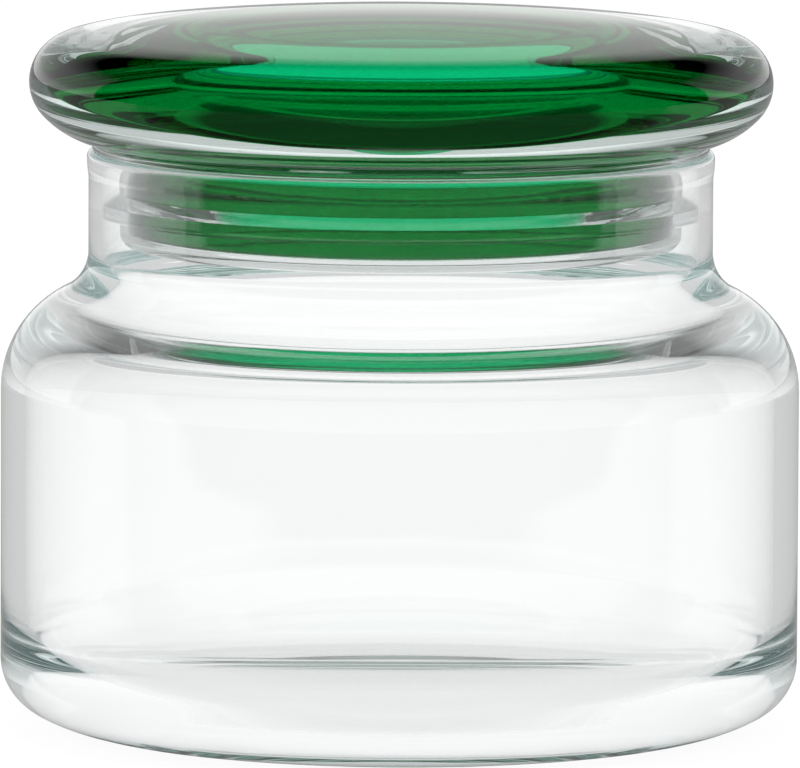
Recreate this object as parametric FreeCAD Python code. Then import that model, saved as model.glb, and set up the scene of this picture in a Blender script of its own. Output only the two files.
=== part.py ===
"""Squat glass keeper: a jar, a stopper lid and the soft ring that seals them.

All three pieces are turned about the Z axis. The origin is the centre of the
base, where the jar stands. Sizes are in millimetres and degrees.
"""
import FreeCAD
import Part
import math
import os

# Jar, outside
BODY_RADIUS = 49.0
FOOT_INSET = 12.3           # from the wall in to the flat ring that the jar stands on
FOOT_WIDTH = 2.4
FOOT_CURVE = 18.0           # flat curve from the standing ring towards the wall
HEEL_RADIUS = 7.0
PUSH_UP = 1.5               # hollow of the underside at the axis
SHOULDER_START = 41.5       # height where the straight wall ends
SHOULDER_RADIUS = 13.4
SHOULDER_TILT = 64.0        # how far the S-curve leans over before it turns back
NECK_RADIUS = 38.3
RIM_HEIGHT = 70.9
RIM_ROUND = 0.8
BEAD_HEIGHT = 3.2           # swelling below the rim, measured from the rim
BEAD_SWELL = 0.2

# Jar, glass thickness
WALL = 3.0
NECK_WALL = 1.7
FLOOR_THICKNESS = 2.8
INNER_HEEL_RADIUS = 13.0    # wide curve off the inside of the wall
INNER_HEEL_BEND = 38.0      # how far it turns before the tighter curve
FLOOR_CORNER_RADIUS = 5.0   # tighter curve onto the floor
INNER_SHOULDER_START = 41.25
INNER_CORNER_RADIUS = 8.35  # corner at the top of the inside wall
INNER_CORNER_TILT = 52.7
SLOPE_RADIUS = 17.9         # flatter slope above it, so that the shoulder is thick
SLOPE_TILT = 61.0

# Lid
LID_RADIUS = 45.6
LID_MIDDLE = 7.45           # widest point above the underside of the disc
EDGE_RADIUS = 5.8
UNDER_RADIUS = 11.0         # curve from the edge in to the flat underside
CROWN_ANGLE = 75.0          # where the edge turns into the crown
CROWN_RADIUS = 24.5
DOME_RADIUS = 343.0
PLUG_CLEARANCE = 3.1        # room between the plug and the inside of the neck
PLUG_DEPTH = 11.2
PLUG_CORNER = 1.2
PLUG_FILLET = 0.5
PLUG_WALL = 2.95            # between the hollow and the plug's outside, at the mouth
MOUTH_ROUND = 0.9
HOLLOW_DRAFT = 7.5          # the hollow narrows upwards
HOLLOW_CORNER = 6.2
CEILING_RISE = 3.0          # the ceiling domes up from its corner to the axis
TOP_THICKNESS = 4.4         # glass above the ceiling at the axis

# Seal ring
SEAL_FIT = 0.1              # gap between plug and ring
SEAL_WALL = 0.8
FLANGE_INSET = 0.4          # from the outside of the neck in to the flange's edge
FLANGE_THICKNESS = 1.0
FLANGE_ROUND = 0.4
SEAL_CHAMFER = 0.7
FIN_GAP = 0.15              # running gap between the fin and the neck
FIN_DROP = 4.6              # root of the fin below the rim
FIN_SLOPE = 1.3             # fall of its upper face
FIN_EDGE = 1.7              # thickness at its outer edge
LIP_GAP = 0.2               # gap between plug and lip
LIP_THICKNESS = 1.2
LIP_WIDTH = 2.6
SEAL_CORNER = 1.8

# Sizes that follow from those above
FOOT_RADIUS = BODY_RADIUS - FOOT_INSET
NECK_INSIDE = NECK_RADIUS - NECK_WALL
PLUG_RADIUS = NECK_INSIDE - PLUG_CLEARANCE
FLANGE_RADIUS = NECK_RADIUS - FLANGE_INSET
UNDERSIDE = RIM_HEIGHT + FLANGE_THICKNESS       # of the lid's disc


def point(radius, height):
    """A point of a half section."""
    return FreeCAD.Vector(radius, 0, height)


def around(centre, radius, angle):
    """The point on a circle of the half section: 0 is outward, 90 is up."""
    turn = math.radians(angle)
    return centre + point(radius * math.cos(turn), radius * math.sin(turn))


class HalfSection:
    """A closed outline beside the Z axis, drawn one edge after another."""

    def __init__(self, radius, height):
        self.first = point(radius, height)
        self.last = self.first
        self.edges = []

    def line(self, radius, height):
        self._line_to(point(radius, height))

    def arc(self, centre, radius, start, end):
        """An arc between two angles, with a line to where it starts."""
        self._line_to(around(centre, radius, start))
        middle = around(centre, radius, (start + end) / 2)
        finish = around(centre, radius, end)
        self.edges.append(Part.Arc(self.last, middle, finish).toShape())
        self.last = finish

    def solid(self):
        """Close the outline and turn it about the Z axis."""
        self._line_to(self.first)
        face = Part.Face(Part.Wire(self.edges))
        return face.revolve(FreeCAD.Vector(0, 0, 0), FreeCAD.Vector(0, 0, 1), 360)

    def _line_to(self, target):
        if self.last.distanceToPoint(target) > 1e-6:
            self.edges.append(Part.LineSegment(self.last, target).toShape())
            self.last = target


def outer_shoulder(section):
    """The shoulder's S: an arc at the wall and a tangent arc back into the neck."""
    tilt = math.radians(SHOULDER_TILT)
    reach = (BODY_RADIUS - NECK_RADIUS) / (1 - math.cos(tilt))
    fillet = reach - SHOULDER_RADIUS
    at_neck = point(NECK_RADIUS + fillet, SHOULDER_START + reach * math.sin(tilt))
    section.arc(point(BODY_RADIUS - SHOULDER_RADIUS, SHOULDER_START), SHOULDER_RADIUS, 0, SHOULDER_TILT)
    section.arc(at_neck, fillet, 180 + SHOULDER_TILT, 180)


def inner_shoulder(section):
    """The same from the inside, down from the neck: a hollow curve, a slope and a corner."""
    corner = point(BODY_RADIUS - WALL - INNER_CORNER_RADIUS, INNER_SHOULDER_START)
    slope = around(corner, INNER_CORNER_RADIUS - SLOPE_RADIUS, INNER_CORNER_TILT)
    top = around(slope, SLOPE_RADIUS, SLOPE_TILT)
    fillet = (top.x - NECK_INSIDE) / (1 - math.cos(math.radians(SLOPE_TILT)))
    section.arc(around(top, fillet, SLOPE_TILT), fillet, 180, 180 + SLOPE_TILT)
    section.arc(slope, SLOPE_RADIUS, SLOPE_TILT, INNER_CORNER_TILT)
    section.arc(corner, INNER_CORNER_RADIUS, INNER_CORNER_TILT, 0)


def inner_heel(section):
    """The inside of the heel, down from the wall: a wide curve, then a tighter one."""
    bend = math.radians(INNER_HEEL_BEND)
    floor = PUSH_UP + FLOOR_THICKNESS
    spare = INNER_HEEL_RADIUS - FLOOR_CORNER_RADIUS
    inside = BODY_RADIUS - WALL
    wide = point(inside - INNER_HEEL_RADIUS, floor + FLOOR_CORNER_RADIUS + spare * math.sin(bend))
    corner = around(wide, spare, -INNER_HEEL_BEND)
    section.arc(wide, INNER_HEEL_RADIUS, 0, -INNER_HEEL_BEND)
    section.arc(corner, FLOOR_CORNER_RADIUS, -INNER_HEEL_BEND, -90)
    section.line(0, floor)


def jar_underside(section):
    """The hollow underside, the flat ring that the jar stands on, and the heel."""
    inner = FOOT_RADIUS - FOOT_WIDTH
    hollow = (inner ** 2 + PUSH_UP ** 2) / (2 * PUSH_UP)
    lean = math.degrees(math.asin(inner / hollow))
    section.arc(point(0, PUSH_UP - hollow), hollow, 90, 90 - lean)
    foot = point(FOOT_RADIUS, FOOT_CURVE)
    across = (BODY_RADIUS - HEEL_RADIUS - FOOT_RADIUS) / (FOOT_CURVE - HEEL_RADIUS)
    turn = math.degrees(math.asin(across))
    section.arc(foot, FOOT_CURVE, 270, 270 + turn)
    heel = around(foot, FOOT_CURVE - HEEL_RADIUS, 270 + turn)
    section.arc(heel, HEEL_RADIUS, 270 + turn, 360)


def jar_rim(section):
    """The bead and the rounded rim, from the outside over to the inside."""
    fall = BEAD_HEIGHT - RIM_ROUND
    swell = (fall ** 2 + BEAD_SWELL ** 2) / (2 * BEAD_SWELL)
    turn = math.degrees(math.asin(fall / swell))
    outside = NECK_RADIUS + BEAD_SWELL
    level = RIM_HEIGHT - RIM_ROUND
    section.arc(point(outside - swell, level), swell, -turn, 0)
    section.arc(point(outside - RIM_ROUND, level), RIM_ROUND, 0, 90)
    section.arc(point(NECK_INSIDE + RIM_ROUND, level), RIM_ROUND, 90, 180)


def make_glass_jar():
    section = HalfSection(0, PUSH_UP)
    jar_underside(section)
    outer_shoulder(section)
    jar_rim(section)
    inner_shoulder(section)
    inner_heel(section)
    return section.solid()


def make_seal_ring():
    inside = PLUG_RADIUS + SEAL_FIT
    outside = inside + SEAL_WALL
    fin = NECK_INSIDE - FIN_GAP
    fin_root = RIM_HEIGHT - FIN_DROP
    fin_top = fin_root - FIN_SLOPE
    fin_bottom = fin_top - FIN_EDGE
    lip_top = UNDERSIDE - PLUG_DEPTH - LIP_GAP
    lip_bottom = lip_top - LIP_THICKNESS
    flange_edge = FLANGE_RADIUS - FLANGE_ROUND
    section = HalfSection(inside + SEAL_CHAMFER, UNDERSIDE)
    section.arc(point(flange_edge, UNDERSIDE - FLANGE_ROUND), FLANGE_ROUND, 90, 0)
    section.arc(point(flange_edge, RIM_HEIGHT + FLANGE_ROUND), FLANGE_ROUND, 0, -90)
    section.line(outside, RIM_HEIGHT)
    section.line(outside, fin_root)
    section.line(fin, fin_top)
    section.line(fin, fin_bottom)
    section.line(outside, fin_bottom)
    section.arc(point(outside - SEAL_CORNER, lip_bottom + SEAL_CORNER), SEAL_CORNER, 0, -90)
    section.line(inside - LIP_WIDTH, lip_bottom)
    section.line(inside - LIP_WIDTH, lip_top)
    section.arc(point(inside - PLUG_CORNER, lip_top + PLUG_CORNER), PLUG_CORNER, -90, 0)
    section.line(inside, UNDERSIDE - SEAL_CHAMFER)
    return section.solid()


def lid_hollow(plug_bottom, apex):
    """The hollow of the plug, from the apex of its ceiling down to its rounded mouth."""
    lean = math.radians(HOLLOW_DRAFT)
    mouth = PLUG_RADIUS - PLUG_WALL
    corner_height = apex - CEILING_RISE - HOLLOW_CORNER
    wall = mouth - (corner_height - plug_bottom) * math.tan(lean)
    corner = point(wall - HOLLOW_CORNER / math.cos(lean), corner_height)
    ceiling = (corner.x ** 2 + CEILING_RISE ** 2) / (2 * CEILING_RISE)
    ceiling_angle = math.degrees(math.acos(corner.x / ceiling))
    foot = MOUTH_ROUND * (1 - math.sin(lean))
    across = mouth - foot * math.tan(lean) + MOUTH_ROUND * math.cos(lean)
    section = HalfSection(0, apex)
    section.arc(point(0, apex - ceiling), ceiling, 90, ceiling_angle)
    section.arc(corner, HOLLOW_CORNER, 90, HOLLOW_DRAFT)
    section.arc(point(across, plug_bottom + MOUTH_ROUND), MOUTH_ROUND, 180 + HOLLOW_DRAFT, 270)
    return section


def make_lid():
    edge = point(LID_RADIUS - EDGE_RADIUS, UNDERSIDE + LID_MIDDLE)
    crown = around(edge, EDGE_RADIUS - CROWN_RADIUS, CROWN_ANGLE)
    dome_angle = math.degrees(math.acos(crown.x / (DOME_RADIUS - CROWN_RADIUS)))
    dome = around(crown, CROWN_RADIUS - DOME_RADIUS, dome_angle)
    below = math.asin((UNDER_RADIUS - LID_MIDDLE) / (UNDER_RADIUS - EDGE_RADIUS))
    under_angle = -math.degrees(below)
    under = around(edge, EDGE_RADIUS - UNDER_RADIUS, under_angle)
    plug_bottom = UNDERSIDE - PLUG_DEPTH
    section = lid_hollow(plug_bottom, dome.z + DOME_RADIUS - TOP_THICKNESS)
    section.arc(point(PLUG_RADIUS - PLUG_CORNER, plug_bottom + PLUG_CORNER), PLUG_CORNER, -90, 0)
    section.arc(point(PLUG_RADIUS + PLUG_FILLET, UNDERSIDE - PLUG_FILLET), PLUG_FILLET, 180, 90)
    section.arc(under, UNDER_RADIUS, -90, under_angle)
    section.arc(edge, EDGE_RADIUS, under_angle, CROWN_ANGLE)
    section.arc(crown, CROWN_RADIUS, CROWN_ANGLE, dome_angle)
    section.arc(dome, DOME_RADIUS, dome_angle, 90)
    return section.solid()


NODES = {
    "glass_jar": make_glass_jar,
    "seal_ring": make_seal_ring,
    "lid": make_lid,
}

os.makedirs("parts", exist_ok=True)
for name, make in NODES.items():
    shape = make()
    shape.exportStep("parts/" + name + ".step")
    print(name, "volume", round(shape.Volume / 1000, 2), "cm3, valid", shape.isValid())
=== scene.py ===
import math
import bmesh
import bpy
from mathutils import Matrix


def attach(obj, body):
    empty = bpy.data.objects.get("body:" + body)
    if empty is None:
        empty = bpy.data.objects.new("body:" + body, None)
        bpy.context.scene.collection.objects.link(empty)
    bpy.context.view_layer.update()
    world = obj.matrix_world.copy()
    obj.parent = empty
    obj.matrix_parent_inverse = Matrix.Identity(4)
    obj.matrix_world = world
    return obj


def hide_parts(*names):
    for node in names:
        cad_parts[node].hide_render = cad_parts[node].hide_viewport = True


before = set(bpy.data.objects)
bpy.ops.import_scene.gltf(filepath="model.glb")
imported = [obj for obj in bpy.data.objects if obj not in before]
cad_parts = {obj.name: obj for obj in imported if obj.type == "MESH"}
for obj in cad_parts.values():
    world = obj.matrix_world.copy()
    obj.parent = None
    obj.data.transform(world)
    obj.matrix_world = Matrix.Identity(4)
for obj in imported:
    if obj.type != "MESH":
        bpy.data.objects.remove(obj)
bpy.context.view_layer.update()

# Glass jar. One piece of clear soda-lime glass, pressed and blown in a mould and fire
# polished. It is thickest at the heel and the shoulder and thin at the neck, its rim is
# rounded by the flame, and it stands on a narrow ring inside its heel.
MM = 0.001
BODY_RADIUS = 49.0
FOOT_RADIUS, FOOT_WIDTH, FOOT_CURVE, HEEL_RADIUS, PUSH_UP = 36.7, 2.4, 18.0, 7.0, 1.5
NECK_RADIUS, RIM_HEIGHT, RIM_ROUND, BEAD_HEIGHT, BEAD_SWELL = 38.3, 70.9, 0.8, 3.2, 0.2
WALL, NECK_WALL, FLOOR_THICKNESS = 3.0, 1.7, 2.8
SHOULDER = (41.5, 13.4, 64.0, 13.4, 64.0)     # start, corner, its tilt, slope, its tilt
INNER_SHOULDER = (41.25, 8.35, 52.7, 17.9, 61.0)
INNER_HEEL = (13.0, 38.0, 5.0)                # upper curve, its bend, lower curve
WALL_START = 9.0
WALL_STEPS, FLOOR_STEPS = 10, 8
JAR_RIPPLE = 0.03
CLEAR_ABSORBED = (2.0, 0.6, 0.75)
GLASS_IOR = 1.52


def around(centre, radius, angle):
    """A point on a circle of the half section: 0 is outward, 90 is up."""
    turn = math.radians(angle)
    return centre[0] + radius * math.cos(turn), centre[1] + radius * math.sin(turn)


def arc(centre, radius, start, end, step=4.0):
    """Points along a curve of the half section, about one for each step of its turn."""
    count = max(2, math.ceil(abs(end - start) / step))
    return [around(centre, radius, start + (end - start) * i / count) for i in range(count + 1)]


def s_curve(wall, neck, start, corner, corner_tilt, slope, tilt):
    """From the wall in and up to the neck: a corner, a flatter slope and a hollow curve."""
    middle = (wall - corner, start)
    slope_middle = around(around(middle, corner, corner_tilt), -slope, corner_tilt)
    top = around(slope_middle, slope, tilt)
    fillet = (top[0] - neck) / (1 - math.cos(math.radians(tilt)))
    return (arc(middle, corner, 0, corner_tilt) + arc(slope_middle, slope, corner_tilt, tilt)
            + arc(around(top, fillet, tilt), fillet, 180 + tilt, 180))


def add(tree, kind, inputs=None, **settings):
    """A new node; an input may be a value or another node's socket."""
    node = tree.nodes.new(kind)
    for key, value in settings.items():
        setattr(node, key, value)
    for key, value in (inputs or {}).items():
        if isinstance(value, bpy.types.NodeSocket):
            tree.links.new(value, node.inputs[key])
        else:
            node.inputs[key].default_value = value
    return node


def turning_wheel():
    """Turns a half section about the Z axis and gives the skin a faint hand-made ripple."""
    tree = bpy.data.node_groups.new("turning wheel", "GeometryNodeTree")
    sockets = {}
    for name, kind, default in (
            ("Half section", "NodeSocketGeometry", None),
            ("Wheel radius", "NodeSocketFloat", 0.04),
            ("Segments", "NodeSocketInt", 256),
            ("Sharp edge", "NodeSocketFloat", math.radians(28)),
            ("Ripple", "NodeSocketFloat", 0.0),
            ("Ripple scale", "NodeSocketFloat", 60.0),
            ("Seed", "NodeSocketFloat", 1.0),
            ("Finish", "NodeSocketMaterial", None)):
        socket = tree.interface.new_socket(name, in_out="INPUT", socket_type=kind)
        if default is not None:
            socket.default_value = default
        sockets[name] = socket.identifier
    tree.interface.new_socket("Turned piece", in_out="OUTPUT", socket_type="NodeSocketGeometry")
    given = add(tree, "NodeGroupInput").outputs
    section = add(tree, "GeometryNodeMeshToCurve", {"Mesh": given["Half section"]})
    wheel = add(tree, "GeometryNodeCurvePrimitiveCircle",
                {"Resolution": given["Segments"], "Radius": given["Wheel radius"]})
    upright = add(tree, "GeometryNodeSetCurveNormal", {"Curve": wheel.outputs["Curve"]},
                  mode="Z_UP")
    turned = add(tree, "GeometryNodeCurveToMesh",
                 {"Curve": upright.outputs["Curve"], "Profile Curve": section.outputs["Curve"]})
    closed = add(tree, "GeometryNodeMergeByDistance",
                 {"Geometry": turned.outputs["Mesh"], "Distance": 1e-6})
    noise = add(tree, "ShaderNodeTexNoise",
                {"W": given["Seed"], "Scale": given["Ripple scale"], "Detail": 1.0},
                noise_dimensions="4D")
    swing = add(tree, "ShaderNodeMath", {0: noise.outputs["Fac"], 1: 0.5}, operation="SUBTRACT")
    height = add(tree, "ShaderNodeMath", {0: swing.outputs[0], 1: given["Ripple"]},
                 operation="MULTIPLY")
    normal = add(tree, "GeometryNodeInputNormal")
    push = add(tree, "ShaderNodeVectorMath",
               {0: normal.outputs["Normal"], "Scale": height.outputs[0]}, operation="SCALE")
    rippled = add(tree, "GeometryNodeSetPosition",
                  {"Geometry": closed.outputs["Geometry"], "Offset": push.outputs["Vector"]})
    smooth = add(tree, "GeometryNodeSetShadeSmooth", {"Geometry": rippled.outputs["Geometry"]},
                 domain="FACE")
    angle = add(tree, "GeometryNodeInputMeshEdgeAngle")
    sharp = add(tree, "ShaderNodeMath",
                {0: angle.outputs["Unsigned Angle"], 1: given["Sharp edge"]},
                operation="GREATER_THAN")
    creased = add(tree, "GeometryNodeSetShadeSmooth",
                  {"Geometry": smooth.outputs["Geometry"], "Selection": sharp.outputs[0],
                   "Shade Smooth": False}, domain="EDGE")
    real = add(tree, "GeometryNodeRealizeInstances", {"Geometry": creased.outputs["Geometry"]})
    coated = add(tree, "GeometryNodeSetMaterial",
                 {"Geometry": real.outputs["Geometry"], "Material": given["Finish"]})
    add(tree, "NodeGroupOutput", {"Turned piece": coated.outputs["Geometry"]})
    return tree, sockets


WHEEL, WHEEL_SOCKETS = turning_wheel()
SAME_POINT = 2e-6


def turned_piece(name, outline, finish, closed=False, wheel=0.04, **inputs):
    """A plain closed mesh, turned from a half section given in millimetres."""
    points = []
    for radius, height in outline:
        point = (radius * MM - wheel, -height * MM, 0)
        if not points or math.dist(point, points[-1]) > SAME_POINT:
            points.append(point)
    edges = [(i, i + 1) for i in range(len(points) - 1)]
    if closed:
        edges.append((len(points) - 1, 0))
    section = bpy.data.meshes.new(name + " section")
    section.from_pydata(points, edges, [])
    piece = bpy.data.objects.new(name, section)
    bpy.context.collection.objects.link(piece)
    turning = piece.modifiers.new("turning", "NODES")
    turning.node_group = WHEEL
    for key, value in {"Wheel radius": wheel, "Finish": finish, **inputs}.items():
        turning[WHEEL_SOCKETS[key]] = value
    bpy.context.view_layer.update()
    seen = piece.evaluated_get(bpy.context.evaluated_depsgraph_get())
    mesh = bpy.data.meshes.new_from_object(seen)
    piece.modifiers.remove(turning)
    piece.data = mesh
    mesh.name = name
    body = bmesh.new()
    body.from_mesh(mesh)
    if body.calc_volume(signed=True) < 0:
        bmesh.ops.reverse_faces(body, faces=body.faces)
    body.to_mesh(mesh)
    body.free()
    return piece


def shader(name):
    """A new material with its tree and its Principled node."""
    material = bpy.data.materials.new(name)
    material.use_nodes = True
    return material, material.node_tree, material.node_tree.nodes["Principled BSDF"]


def glass(name, absorbed, roughness=0.004, smear=0.03, unevenness=0.004):
    """Clear glass. It takes in the given red, green and blue for each metre of its depth."""
    material, tree, skin = shader(name)
    skin.inputs["Base Color"].default_value = (1, 1, 1, 1)
    skin.inputs["IOR"].default_value = GLASS_IOR
    skin.inputs["Transmission Weight"].default_value = 1.0
    place = add(tree, "ShaderNodeTexCoord")
    # faint wiped smears in the gloss
    smears = add(tree, "ShaderNodeTexNoise", {"Vector": place.outputs["Object"], "Scale": 38.0,
                                              "Detail": 5.0, "Distortion": 0.8})
    gloss = add(tree, "ShaderNodeMapRange",
                {"Value": smears.outputs["Fac"], "From Min": 0.5, "From Max": 0.85,
                 "To Min": roughness, "To Max": smear})
    tree.links.new(gloss.outputs["Result"], skin.inputs["Roughness"])
    # the skin of moulded glass is not quite even
    chill = add(tree, "ShaderNodeTexNoise", {"Vector": place.outputs["Object"], "Scale": 55.0,
                                             "Detail": 2.0, "Roughness": 0.35})
    bump = add(tree, "ShaderNodeBump", {"Height": chill.outputs["Fac"], "Strength": 0.25,
                                        "Distance": unevenness * MM})
    tree.links.new(bump.outputs["Normal"], skin.inputs["Normal"])
    most = max(absorbed)
    depth = add(tree, "ShaderNodeVolumeAbsorption",
                {"Color": (*[1 - part / most for part in absorbed], 1), "Density": most})
    tree.links.new(depth.outputs["Volume"], tree.nodes["Material Output"].inputs["Volume"])
    return material


def foot_and_heel():
    """The hollow underside, the ring that the jar stands on, and the heel up to the wall."""
    inner = FOOT_RADIUS - FOOT_WIDTH
    hollow = (inner ** 2 + PUSH_UP ** 2) / (2 * PUSH_UP)
    lean = math.degrees(math.asin(inner / hollow))
    foot = (FOOT_RADIUS, FOOT_CURVE)
    reach = BODY_RADIUS - HEEL_RADIUS - FOOT_RADIUS
    turn = math.degrees(math.asin(reach / (FOOT_CURVE - HEEL_RADIUS)))
    heel = around(foot, FOOT_CURVE - HEEL_RADIUS, 270 + turn)
    return (arc((0, PUSH_UP - hollow), hollow, 90, 90 - lean, 0.8)
            + arc(foot, FOOT_CURVE, 270, 270 + turn, 3)
            + arc(heel, HEEL_RADIUS, 270 + turn, 360))


def rim():
    """The bead under the rim and the rounded rim, from the outside over to the inside."""
    fall = BEAD_HEIGHT - RIM_ROUND
    swell = (fall ** 2 + BEAD_SWELL ** 2) / (2 * BEAD_SWELL)
    turn = math.degrees(math.asin(fall / swell))
    outside, bore, level = NECK_RADIUS + BEAD_SWELL, NECK_RADIUS - NECK_WALL, RIM_HEIGHT - RIM_ROUND
    return (arc((outside - swell, level), swell, -turn, 0, 2)
            + arc((outside - RIM_ROUND, level), RIM_ROUND, 0, 90, 9)
            + arc((bore + RIM_ROUND, level), RIM_ROUND, 90, 180, 9))


def straight_wall(low, high, radius):
    """Points up a straight wall, so that its ripple has something to bend."""
    return [(radius, low + (high - low) * i / WALL_STEPS) for i in range(1, WALL_STEPS)]


def inner_heel(wall, floor, upper, bend, lower):
    """The inside of the heel, from the wall down to the floor: a wide curve, then a tighter one."""
    turn = math.radians(bend)
    across = wall - (upper - lower) * (1 - math.cos(turn)) - lower
    middle = (wall - upper, floor + lower + (upper - lower) * math.sin(turn))
    return arc(middle, upper, 0, -bend) + arc((across, floor + lower), lower, -bend, -90)


inside = BODY_RADIUS - WALL
floor_top = PUSH_UP + FLOOR_THICKNESS
heel_inside = inner_heel(inside, floor_top, *INNER_HEEL)
floor_edge = heel_inside[-1][0]
jar_outline = (foot_and_heel()
               + straight_wall(WALL_START, SHOULDER[0], BODY_RADIUS)
               + s_curve(BODY_RADIUS, NECK_RADIUS, *SHOULDER)
               + rim()
               + s_curve(inside, NECK_RADIUS - NECK_WALL, *INNER_SHOULDER)[::-1]
               + straight_wall(INNER_SHOULDER[0], heel_inside[0][1], inside)
               + heel_inside
               + [(floor_edge * (1 - i / FLOOR_STEPS), floor_top)
                  for i in range(1, FLOOR_STEPS + 1)])
clear_glass = glass("clear glass", CLEAR_ABSORBED)
jar = turned_piece("jar_glass", jar_outline, clear_glass, Ripple=JAR_RIPPLE * MM, Seed=2.0)
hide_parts("glass_jar")
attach(jar, "jar")

# Seal ring. Soft, nearly clear polyethylene, moulded in one piece and stretched over the lid's
# plug: a flange under the disc, a thin sleeve, a fin that presses on the neck and a lip
# that hooks under the plug.
PLUG_RADIUS, PLUG_CORNER, PLUG_DEPTH = 33.5, 1.2, 11.2
FLANGE_THICKNESS, FLANGE_INSET, FLANGE_ROUND, FLANGE_CHAMFER = 1.0, 0.4, 0.4, 0.7
SLEEVE_GAP, SLEEVE_THICKNESS = 0.1, 0.8
FIN_GAP, FIN_FALL, FIN_SLOPE, FIN_HEIGHT = 0.15, 4.6, 1.3, 3.0
LIP_GAP, LIP_THICKNESS, LIP_REACH, LIP_ROUND = 0.2, 1.2, 2.6, 1.8
UNDERSIDE = RIM_HEIGHT + FLANGE_THICKNESS
sleeve = PLUG_RADIUS + SLEEVE_GAP
sleeve_out = sleeve + SLEEVE_THICKNESS
fin = NECK_RADIUS - NECK_WALL - FIN_GAP
fin_root = RIM_HEIGHT - FIN_FALL
lip_top = UNDERSIDE - PLUG_DEPTH - LIP_GAP
lip_bottom = lip_top - LIP_THICKNESS
flange = NECK_RADIUS - FLANGE_INSET - FLANGE_ROUND
ring_outline = ([(sleeve + FLANGE_CHAMFER, UNDERSIDE)]
                + arc((flange, UNDERSIDE - FLANGE_ROUND), FLANGE_ROUND, 90, 0, 15)
                + arc((flange, RIM_HEIGHT + FLANGE_ROUND), FLANGE_ROUND, 0, -90, 15)
                + [(sleeve_out, RIM_HEIGHT), (sleeve_out, fin_root), (fin, fin_root - FIN_SLOPE),
                   (fin, fin_root - FIN_HEIGHT), (sleeve_out, fin_root - FIN_HEIGHT)]
                + arc((sleeve_out - LIP_ROUND, lip_bottom + LIP_ROUND), LIP_ROUND, 0, -90, 9)
                + [(sleeve - LIP_REACH, lip_bottom), (sleeve - LIP_REACH, lip_top)]
                + arc((sleeve - PLUG_CORNER, lip_top + PLUG_CORNER), PLUG_CORNER, -90, 0, 9)
                + [(sleeve, UNDERSIDE - FLANGE_CHAMFER)])
THIN_MILK, THICK_MILK = (0.90, 0.95, 0.94, 1), (0.96, 0.98, 0.98, 1)


def soft_plastic():
    """See-through polyethylene with a faint cloudy tone and a fine moulded grain."""
    material, tree, skin = shader("milky polyethylene")
    skin.inputs["IOR"].default_value = 1.5
    skin.inputs["Transmission Weight"].default_value = 1.0
    place = add(tree, "ShaderNodeTexCoord")
    cloud = add(tree, "ShaderNodeTexNoise",
                {"Vector": place.outputs["Object"], "Scale": 90.0, "Detail": 4.0})
    tone = add(tree, "ShaderNodeValToRGB", {"Fac": cloud.outputs["Fac"]})
    for stop, position, milk in zip(tone.color_ramp.elements, (0.3, 0.7), (THIN_MILK, THICK_MILK)):
        stop.position, stop.color = position, milk
    tree.links.new(tone.outputs["Color"], skin.inputs["Base Color"])
    fog = add(tree, "ShaderNodeMapRange",
              {"Value": cloud.outputs["Fac"], "To Min": 0.01, "To Max": 0.05})
    tree.links.new(fog.outputs["Result"], skin.inputs["Roughness"])
    grain = add(tree, "ShaderNodeTexNoise",
                {"Vector": place.outputs["Object"], "Scale": 900.0, "Detail": 2.0})
    bump = add(tree, "ShaderNodeBump",
               {"Height": grain.outputs["Fac"], "Strength": 0.2, "Distance": 0.02 * MM})
    tree.links.new(bump.outputs["Normal"], skin.inputs["Normal"])
    return material


seal = turned_piece("seal_milky", ring_outline, soft_plastic(), closed=True, wheel=0.035)
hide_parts("seal_ring")
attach(seal, "seal")

# Lid. A heavy stopper pressed in one piece of clear glass and fire polished: a disc with a
# fat round edge and a gently domed top, and a hollow plug below that centres it in the neck.
LID_RADIUS, LID_MIDDLE, EDGE_RADIUS, UNDER_RADIUS = 45.6, 7.45, 5.8, 11.0
CROWN_ANGLE, CROWN_RADIUS, DOME_RADIUS, PLUG_FILLET = 75.0, 24.5, 343.0, 0.5
PLUG_WALL, MOUTH_ROUND, TOP_THICKNESS = 2.95, 0.9, 4.4
HOLLOW_DRAFT, HOLLOW_CORNER, CEILING_RISE = 7.5, 6.2, 3.0
LID_RIPPLE = 0.02
LID_ABSORBED = (2.5, 1.2, 1.6)
edge = (LID_RADIUS - EDGE_RADIUS, UNDERSIDE + LID_MIDDLE)
crown = around(edge, EDGE_RADIUS - CROWN_RADIUS, CROWN_ANGLE)
dome_angle = math.degrees(math.acos(crown[0] / (DOME_RADIUS - CROWN_RADIUS)))
dome = around(crown, CROWN_RADIUS - DOME_RADIUS, dome_angle)
under_lean = (UNDER_RADIUS - LID_MIDDLE) / (UNDER_RADIUS - EDGE_RADIUS)
under_angle = -math.degrees(math.asin(under_lean))
under = around(edge, EDGE_RADIUS - UNDER_RADIUS, under_angle)
plug_bottom = UNDERSIDE - PLUG_DEPTH
plug_flat = PLUG_RADIUS - PLUG_CORNER


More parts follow.
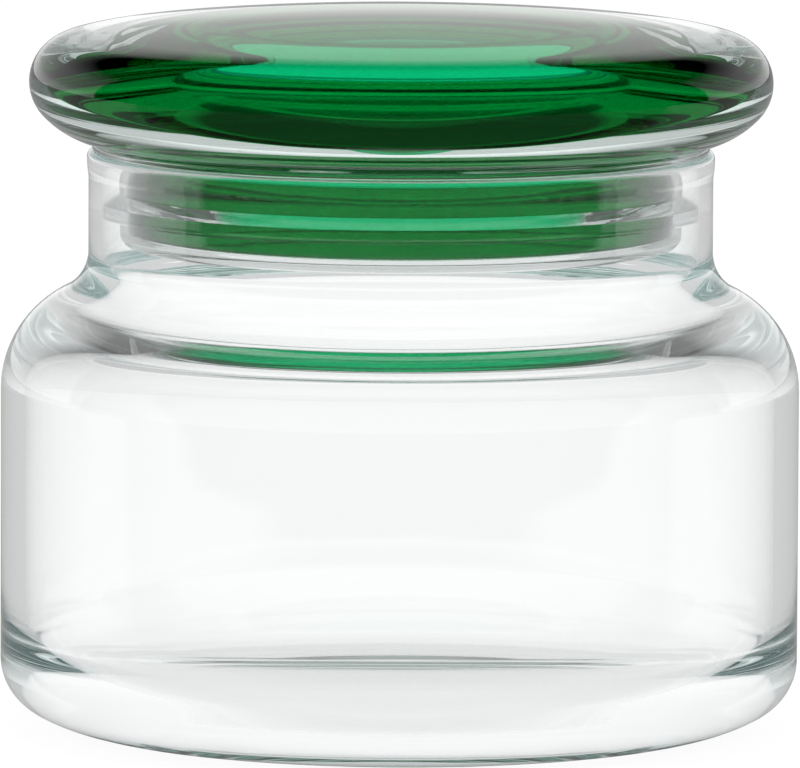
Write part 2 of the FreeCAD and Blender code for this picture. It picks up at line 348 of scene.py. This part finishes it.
def hollow():
    """The hollow of the plug, from its ceiling at the axis down to its rounded mouth."""
    draft = math.radians(HOLLOW_DRAFT)
    apex = dome[1] + DOME_RADIUS - TOP_THICKNESS
    corner_height = apex - CEILING_RISE - HOLLOW_CORNER
    mouth = PLUG_RADIUS - PLUG_WALL
    leaning_in = (corner_height - plug_bottom) * math.tan(draft)
    corner_across = mouth - leaning_in - HOLLOW_CORNER / math.cos(draft)
    arch = (corner_across ** 2 + CEILING_RISE ** 2) / (2 * CEILING_RISE)
    spread = math.degrees(math.asin(corner_across / arch))
    foot = MOUTH_ROUND * (1 - math.sin(draft))
    mouth_across = mouth - foot * math.tan(draft) + MOUTH_ROUND * math.cos(draft)
    return (arc((0, apex - arch), arch, 90, 90 - spread, 1)
            + arc((corner_across, corner_height), HOLLOW_CORNER, 90, HOLLOW_DRAFT)
            + arc((mouth_across, plug_bottom + MOUTH_ROUND), MOUTH_ROUND,
                  180 + HOLLOW_DRAFT, 270, 9))


lid_outline = (hollow()
               + arc((plug_flat, plug_bottom + PLUG_CORNER), PLUG_CORNER, -90, 0, 9)
               + arc((PLUG_RADIUS + PLUG_FILLET, UNDERSIDE - PLUG_FILLET), PLUG_FILLET, 180, 90, 15)
               + arc(under, UNDER_RADIUS, -90, under_angle, 2.5)
               + arc(edge, EDGE_RADIUS, under_angle, CROWN_ANGLE, 2.5)
               + arc(crown, CROWN_RADIUS, CROWN_ANGLE, dome_angle, 1.5)
               + arc(dome, DOME_RADIUS, dome_angle, 90, 0.5))
lid_glass = glass("clear lid glass", LID_ABSORBED)
lid = turned_piece("lid_glass", lid_outline, lid_glass, Ripple=LID_RIPPLE * MM, Seed=5.0)
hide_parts("lid")
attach(lid, "lid")

# Green coat. A transparent lacquer sprayed into the hollow, from the ceiling down to the
# mouth; the clear glass round it carries its colour out to the edge of the disc.
COAT = (0.003, 0.50, 0.185)
COAT_DEPTH, COAT_THICKNESS = 0.03, 0.05


def lacquer():
    """A clear dye with no gloss of its own, a little deeper where the spray pooled."""
    material, tree, skin = shader("green lacquer")
    skin.inputs["IOR"].default_value = 1.0
    skin.inputs["Roughness"].default_value = 0.0
    skin.inputs["Transmission Weight"].default_value = 1.0
    place = add(tree, "ShaderNodeTexCoord")
    run = add(tree, "ShaderNodeTexNoise",
              {"Vector": place.outputs["Object"], "Scale": 40.0, "Detail": 2.0})
    spray = add(tree, "ShaderNodeMapRange",
                {"Value": run.outputs["Fac"], "To Min": 0.92, "To Max": 1.08})
    dye = add(tree, "ShaderNodeVectorMath", {0: COAT, "Scale": spray.outputs["Result"]},
              operation="SCALE")
    tree.links.new(dye.outputs["Vector"], skin.inputs["Base Color"])
    return material


def deeper(outline, depth):
    """The same outline, moved into the glass."""
    moved = []
    for i, (radius, height) in enumerate(outline):
        before, after = outline[max(i - 1, 0)], outline[min(i + 1, len(outline) - 1)]
        along = (after[0] - before[0], after[1] - before[1])
        length = math.hypot(*along)
        moved.append((max(radius - along[1] / length * depth, 0),
                      height + along[0] / length * depth))
    moved[0] = (0, moved[0][1])
    return moved


hollow_outline = hollow()
coat_outline = (deeper(hollow_outline, COAT_DEPTH)
                + deeper(hollow_outline, COAT_DEPTH + COAT_THICKNESS)[::-1])
coat = turned_piece("lid_coat", coat_outline, lacquer())
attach(coat, "lid")

# Table. A plain white sheet under and around the keeper, which gives light of its own as well as
# taking the lamps' light, so that it shows white and still takes the shadow. Through the glass
# it shows a painted pool of light under the keeper, and is dimmer behind and dark in front.
TABLE_REACH, TABLE_LEVEL = 6.0, -0.0002
TABLE_GLOW = 0.95          # share of white that the sheet gives by itself
TABLE_PAINT = 0.06         # the rest, which takes the lamps' light and the shadow
TABLE_IN_GLOSS, GLOSS_FADES = 0.3, (0.0, -0.05)
# through the glass: a painted pool of light under the keeper, dimmer behind, dark in front
PAINTED_POOL_UNDER_KEEPER, UNDER_EDGE = 1.0, (0.055, 0.065)
TABLE_BEHIND, TABLE_FRONT, FRONT_STARTS = 0.6, 0.0, (-0.03, -0.05)


def maths(tree, operation, first, second=0.0):
    """The outcome of one sum in a node tree."""
    return add(tree, "ShaderNodeMath", {0: first, 1: second}, operation=operation).outputs[0]


def blend_between(tree, value, limits, before, after, **settings):
    """Before up to the first limit, after from the second, and a blend of the two between them."""
    return add(tree, "ShaderNodeMapRange",
               {"Value": value, "From Min": limits[0], "From Max": limits[1],
                "To Min": before, "To Max": after}, **settings).outputs["Result"]


def white_sheet():
    """White where it is seen plainly; the glass mirrors less of it, and least from the front."""
    material, tree, skin = shader("white sheet")
    tree.nodes.remove(skin)
    ray = add(tree, "ShaderNodeLightPath")
    place = add(tree, "ShaderNodeTexCoord")
    spot = add(tree, "ShaderNodeSeparateXYZ", {0: place.outputs["Object"]})
    reach = add(tree, "ShaderNodeVectorMath", {0: place.outputs["Object"]}, operation="LENGTH")
    nearer = blend_between(tree, spot.outputs["Y"], FRONT_STARTS, TABLE_BEHIND, TABLE_FRONT)
    # painted pool of light under the keeper, seen only through the glass
    under = blend_between(tree, reach.outputs["Value"], UNDER_EDGE, PAINTED_POOL_UNDER_KEEPER, nearer)
    mirrored = blend_between(tree, spot.outputs["Y"], GLOSS_FADES, TABLE_IN_GLOSS, 0.0)
    gloss = maths(tree, "MULTIPLY", ray.outputs["Is Glossy Ray"], mirrored)
    thrown = maths(tree, "GREATER_THAN", ray.outputs["Glossy Depth"], 0.5)
    bent = add(tree, "ShaderNodeMix", {0: thrown, 2: 1.0, 3: under})
    through = maths(tree, "MULTIPLY", ray.outputs["Is Transmission Ray"], bent.outputs[0])
    seen = maths(tree, "MULTIPLY", ray.outputs["Is Camera Ray"], TABLE_GLOW)
    glow = maths(tree, "MAXIMUM", maths(tree, "MAXIMUM", gloss, through), seen)
    light = add(tree, "ShaderNodeEmission", {"Color": (1, 1, 1, 1), "Strength": glow})
    fibre = add(tree, "ShaderNodeTexNoise",
                {"Vector": place.outputs["Object"], "Scale": 400.0, "Detail": 3.0})
    paper = add(tree, "ShaderNodeMapRange",
                {"Value": fibre.outputs["Fac"], "To Min": TABLE_PAINT * 0.97,
                 "To Max": TABLE_PAINT * 1.03})
    paint = add(tree, "ShaderNodeBsdfDiffuse", {"Color": paper.outputs["Result"]})
    both = add(tree, "ShaderNodeAddShader", {0: light.outputs[0], 1: paint.outputs[0]})
    tree.links.new(both.outputs[0], tree.nodes["Material Output"].inputs["Surface"])
    return material


table_corners = [(x * TABLE_REACH, y * TABLE_REACH, TABLE_LEVEL)
                 for x, y in ((-1, -1), (1, -1), (1, 1), (-1, 1))]
table_mesh = bpy.data.meshes.new("table")
table_mesh.from_pydata(table_corners, [], [(0, 1, 2, 3)])
table_mesh.materials.append(white_sheet())
table = bpy.data.objects.new("table", table_mesh)
bpy.context.collection.objects.link(table)

# Surroundings. A dark room with a tall white sheet behind the keeper that fades upwards,
# which the glass bends into its bright and dark parts; plain white where nothing bends it.
BACK_WIDTH, BACK_EDGE = 70.0, 1.0
BACK_FADE = ((0, 1.0), (3, 1.0), (5, 0.86), (7, 0.70), (11, 0.62), (19, 0.53), (24, 0.33),
             (28, 0.17), (32, 0.0))     # degrees above level, share of white
ROOM_DARK, ROOM_TOP, ROOM_TOP_EDGE = 0.12, 32.0, 3.0
ROOM_FRONT, FRONT_FACING = 0.8, (-0.1, -0.3)
ROOM_AROUND = 0.55


def surroundings():
    """The room as a world: its share of white for each kind of ray and each direction."""
    world = bpy.data.worlds.new("surroundings")
    bpy.context.scene.world = world
    world.use_nodes = True
    tree = world.node_tree
    tree.nodes.clear()

    def sum_of(operation, first, second=0.0):
        return maths(tree, operation, first, second)

    place = add(tree, "ShaderNodeTexCoord")
    part = add(tree, "ShaderNodeSeparateXYZ", {0: place.outputs["Generated"]}).outputs
    aside = sum_of("ABSOLUTE", sum_of("ARCTAN2", part["X"], part["Y"]))
    rise = sum_of("ARCSINE", part["Z"])
    level = sum_of("DIVIDE", rise, math.radians(90))
    fade = add(tree, "ShaderNodeValToRGB", {"Fac": level})
    stops = fade.color_ramp.elements
    while len(stops) < len(BACK_FADE):
        stops.new(0.5)
    for stop, (height, white) in zip(stops, BACK_FADE):
        stop.position, stop.color = height / 90, (white, white, white, 1)
    sides = [math.radians(BACK_WIDTH + edge) for edge in (-BACK_EDGE, BACK_EDGE)]
    sheet_edge = blend_between(tree, aside, sides, 1.0, 0.0, interpolation_type="SMOOTHSTEP")
    sheet = sum_of("MULTIPLY", sheet_edge, fade.outputs["Color"])
    ray = add(tree, "ShaderNodeLightPath").outputs
    gloss = sum_of("MULTIPLY", ray["Is Glossy Ray"], sheet)
    thrown = sum_of("GREATER_THAN", ray["Glossy Depth"], 0.5)
    top = [math.radians(ROOM_TOP + edge) for edge in (-ROOM_TOP_EDGE, ROOM_TOP_EDGE)]
    room = blend_between(tree, rise, top, 1.0, ROOM_DARK)
    facing = blend_between(tree, part["Y"], FRONT_FACING, ROOM_DARK, ROOM_FRONT)
    bent = add(tree, "ShaderNodeMix", {0: thrown, 2: room, 3: sum_of("MAXIMUM", sheet, facing)})
    through = sum_of("MULTIPLY", ray["Is Transmission Ray"], bent.outputs[0])
    around_it = sum_of("MULTIPLY", ray["Is Diffuse Ray"], ROOM_AROUND)
    white = sum_of("MAXIMUM", sum_of("MAXIMUM", gloss, through),
                   sum_of("MAXIMUM", around_it, ray["Is Camera Ray"]))
    glow = add(tree, "ShaderNodeBackground", {"Color": (1, 1, 1, 1), "Strength": white})
    add(tree, "ShaderNodeOutputWorld", {"Surface": glow.outputs[0]})


surroundings()

# Lamps. Two round soft boxes, one on each side and a little in front, and a weaker one
# overhead. They light the table and cast the shadow; the clear pieces do not mirror them.
LOOK_AT = (0, 0, 0.05)
for name, place, aim, size, power in (
        ("left soft box", (-1.3, -0.9, 1.1), LOOK_AT, 0.9, 22.0),
        ("right soft box", (1.3, -0.9, 1.1), LOOK_AT, 0.9, 22.0),
        ("top soft box", (0, 0.3, 1.8), (0, 0, 0.0), 1.2, 14.0)):
    light = bpy.data.lights.new(name, "AREA")
    light.shape, light.size, light.energy = "DISK", size, power
    lamp = bpy.data.objects.new(name, light)
    lamp.visible_glossy = lamp.visible_transmission = False
    bpy.context.collection.objects.link(lamp)
    away = [place[i] - aim[i] for i in range(3)]
    turn = math.atan2(away[0], -away[1])
    lean = math.atan2(math.hypot(away[0], away[1]), away[2])
    lamp.matrix_world = (Matrix.Translation(place) @ Matrix.Rotation(turn, 4, "Z")
                         @ Matrix.Rotation(lean, 4, "X"))

# Camera. A little above the lid and nearly level with it, far off, with a long lens.
# It is turned down by a few degrees and rolled by a quarter of one.
CAMERA_PLACE = (0, -1.7642, 0.25321)
LOOKING_DOWN, ROLL = 0.11914, 0.0045
FOCAL_LENGTH = 650.96
BOUNCES, CLEAR_BOUNCES = 80, 32          # light goes round many times inside the heel
lens = bpy.data.cameras.new("camera")
lens.lens, lens.sensor_width, lens.sensor_fit = FOCAL_LENGTH, 36.0, "HORIZONTAL"
lens.clip_start, lens.clip_end = 0.05, 30.0
camera = bpy.data.objects.new("camera", lens)
bpy.context.collection.objects.link(camera)
camera.matrix_world = (Matrix.Translation(CAMERA_PLACE)
                       @ Matrix.Rotation(math.pi / 2 - LOOKING_DOWN, 4, "X")
                       @ Matrix.Rotation(ROLL, 4, "Z"))
scene = bpy.context.scene
scene.camera = camera
scene.view_settings.view_transform = "Standard"
scene.cycles.max_bounces = BOUNCES
scene.cycles.transmission_bounces = BOUNCES
scene.cycles.glossy_bounces = BOUNCES
scene.cycles.transparent_max_bounces = CLEAR_BOUNCES
